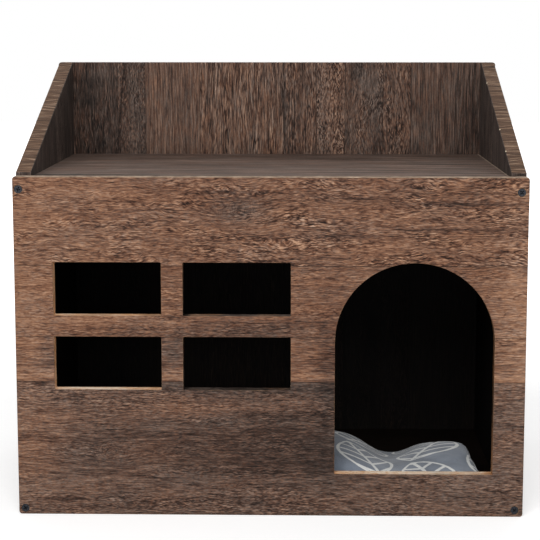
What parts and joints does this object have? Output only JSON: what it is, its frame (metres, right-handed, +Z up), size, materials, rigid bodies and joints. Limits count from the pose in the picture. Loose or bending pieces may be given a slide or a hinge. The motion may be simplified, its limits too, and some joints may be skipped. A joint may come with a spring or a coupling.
{
  "type": "cat house",
  "caption": "Screwed wooden cat house with small windows, a round-headed doorway, a floor cushion and an open tray on its roof.",
  "frame": {"origin": "on the ground, under the middle of the box", "axes": "+X to the right along the front, -Y out of the front, +Z up"},
  "size_m": [0.5, 0.3272, 0.441],
  "materials": {
    "front_board": "charred and wire-brushed, open grain",
    "back_board": "charred and wire-brushed, open grain",
    "side_board": "charred and wire-brushed, end grain on the slanted edge",
    "roof_board": "charred and rubbed smooth",
    "floor_board": "charred",
    "screw_steel": "black oxide",
    "cushion_cloth": "blue-grey plain-weave cotton with pale printed lines"
  },
  "bodies": {
    "root": {"front_panel": "front_board", "back_panel": "back_board", "left_side": "side_board", "right_side": "side_board", "roof_shelf": "roof_board", "floor_panel": "floor_board", "cushion": "cushion_cloth", "front_screw_upper_left": "screw_steel", "front_screw_upper_right": "screw_steel", "front_screw_lower_left": "screw_steel", "front_screw_lower_right": "screw_steel", "back_screw_upper_left": "screw_steel", "back_screw_upper_right": "screw_steel", "back_screw_lower_left": "screw_steel", "back_screw_lower_right": "screw_steel", "left_roof_screw_front": "screw_steel", "left_roof_screw_rear": "screw_steel", "left_floor_screw_front": "screw_steel", "left_floor_screw_rear": "screw_steel", "right_roof_screw_front": "screw_steel", "right_roof_screw_rear": "screw_steel", "right_floor_screw_front": "screw_steel", "right_floor_screw_rear": "screw_steel"}
  },
  "joints": []
}
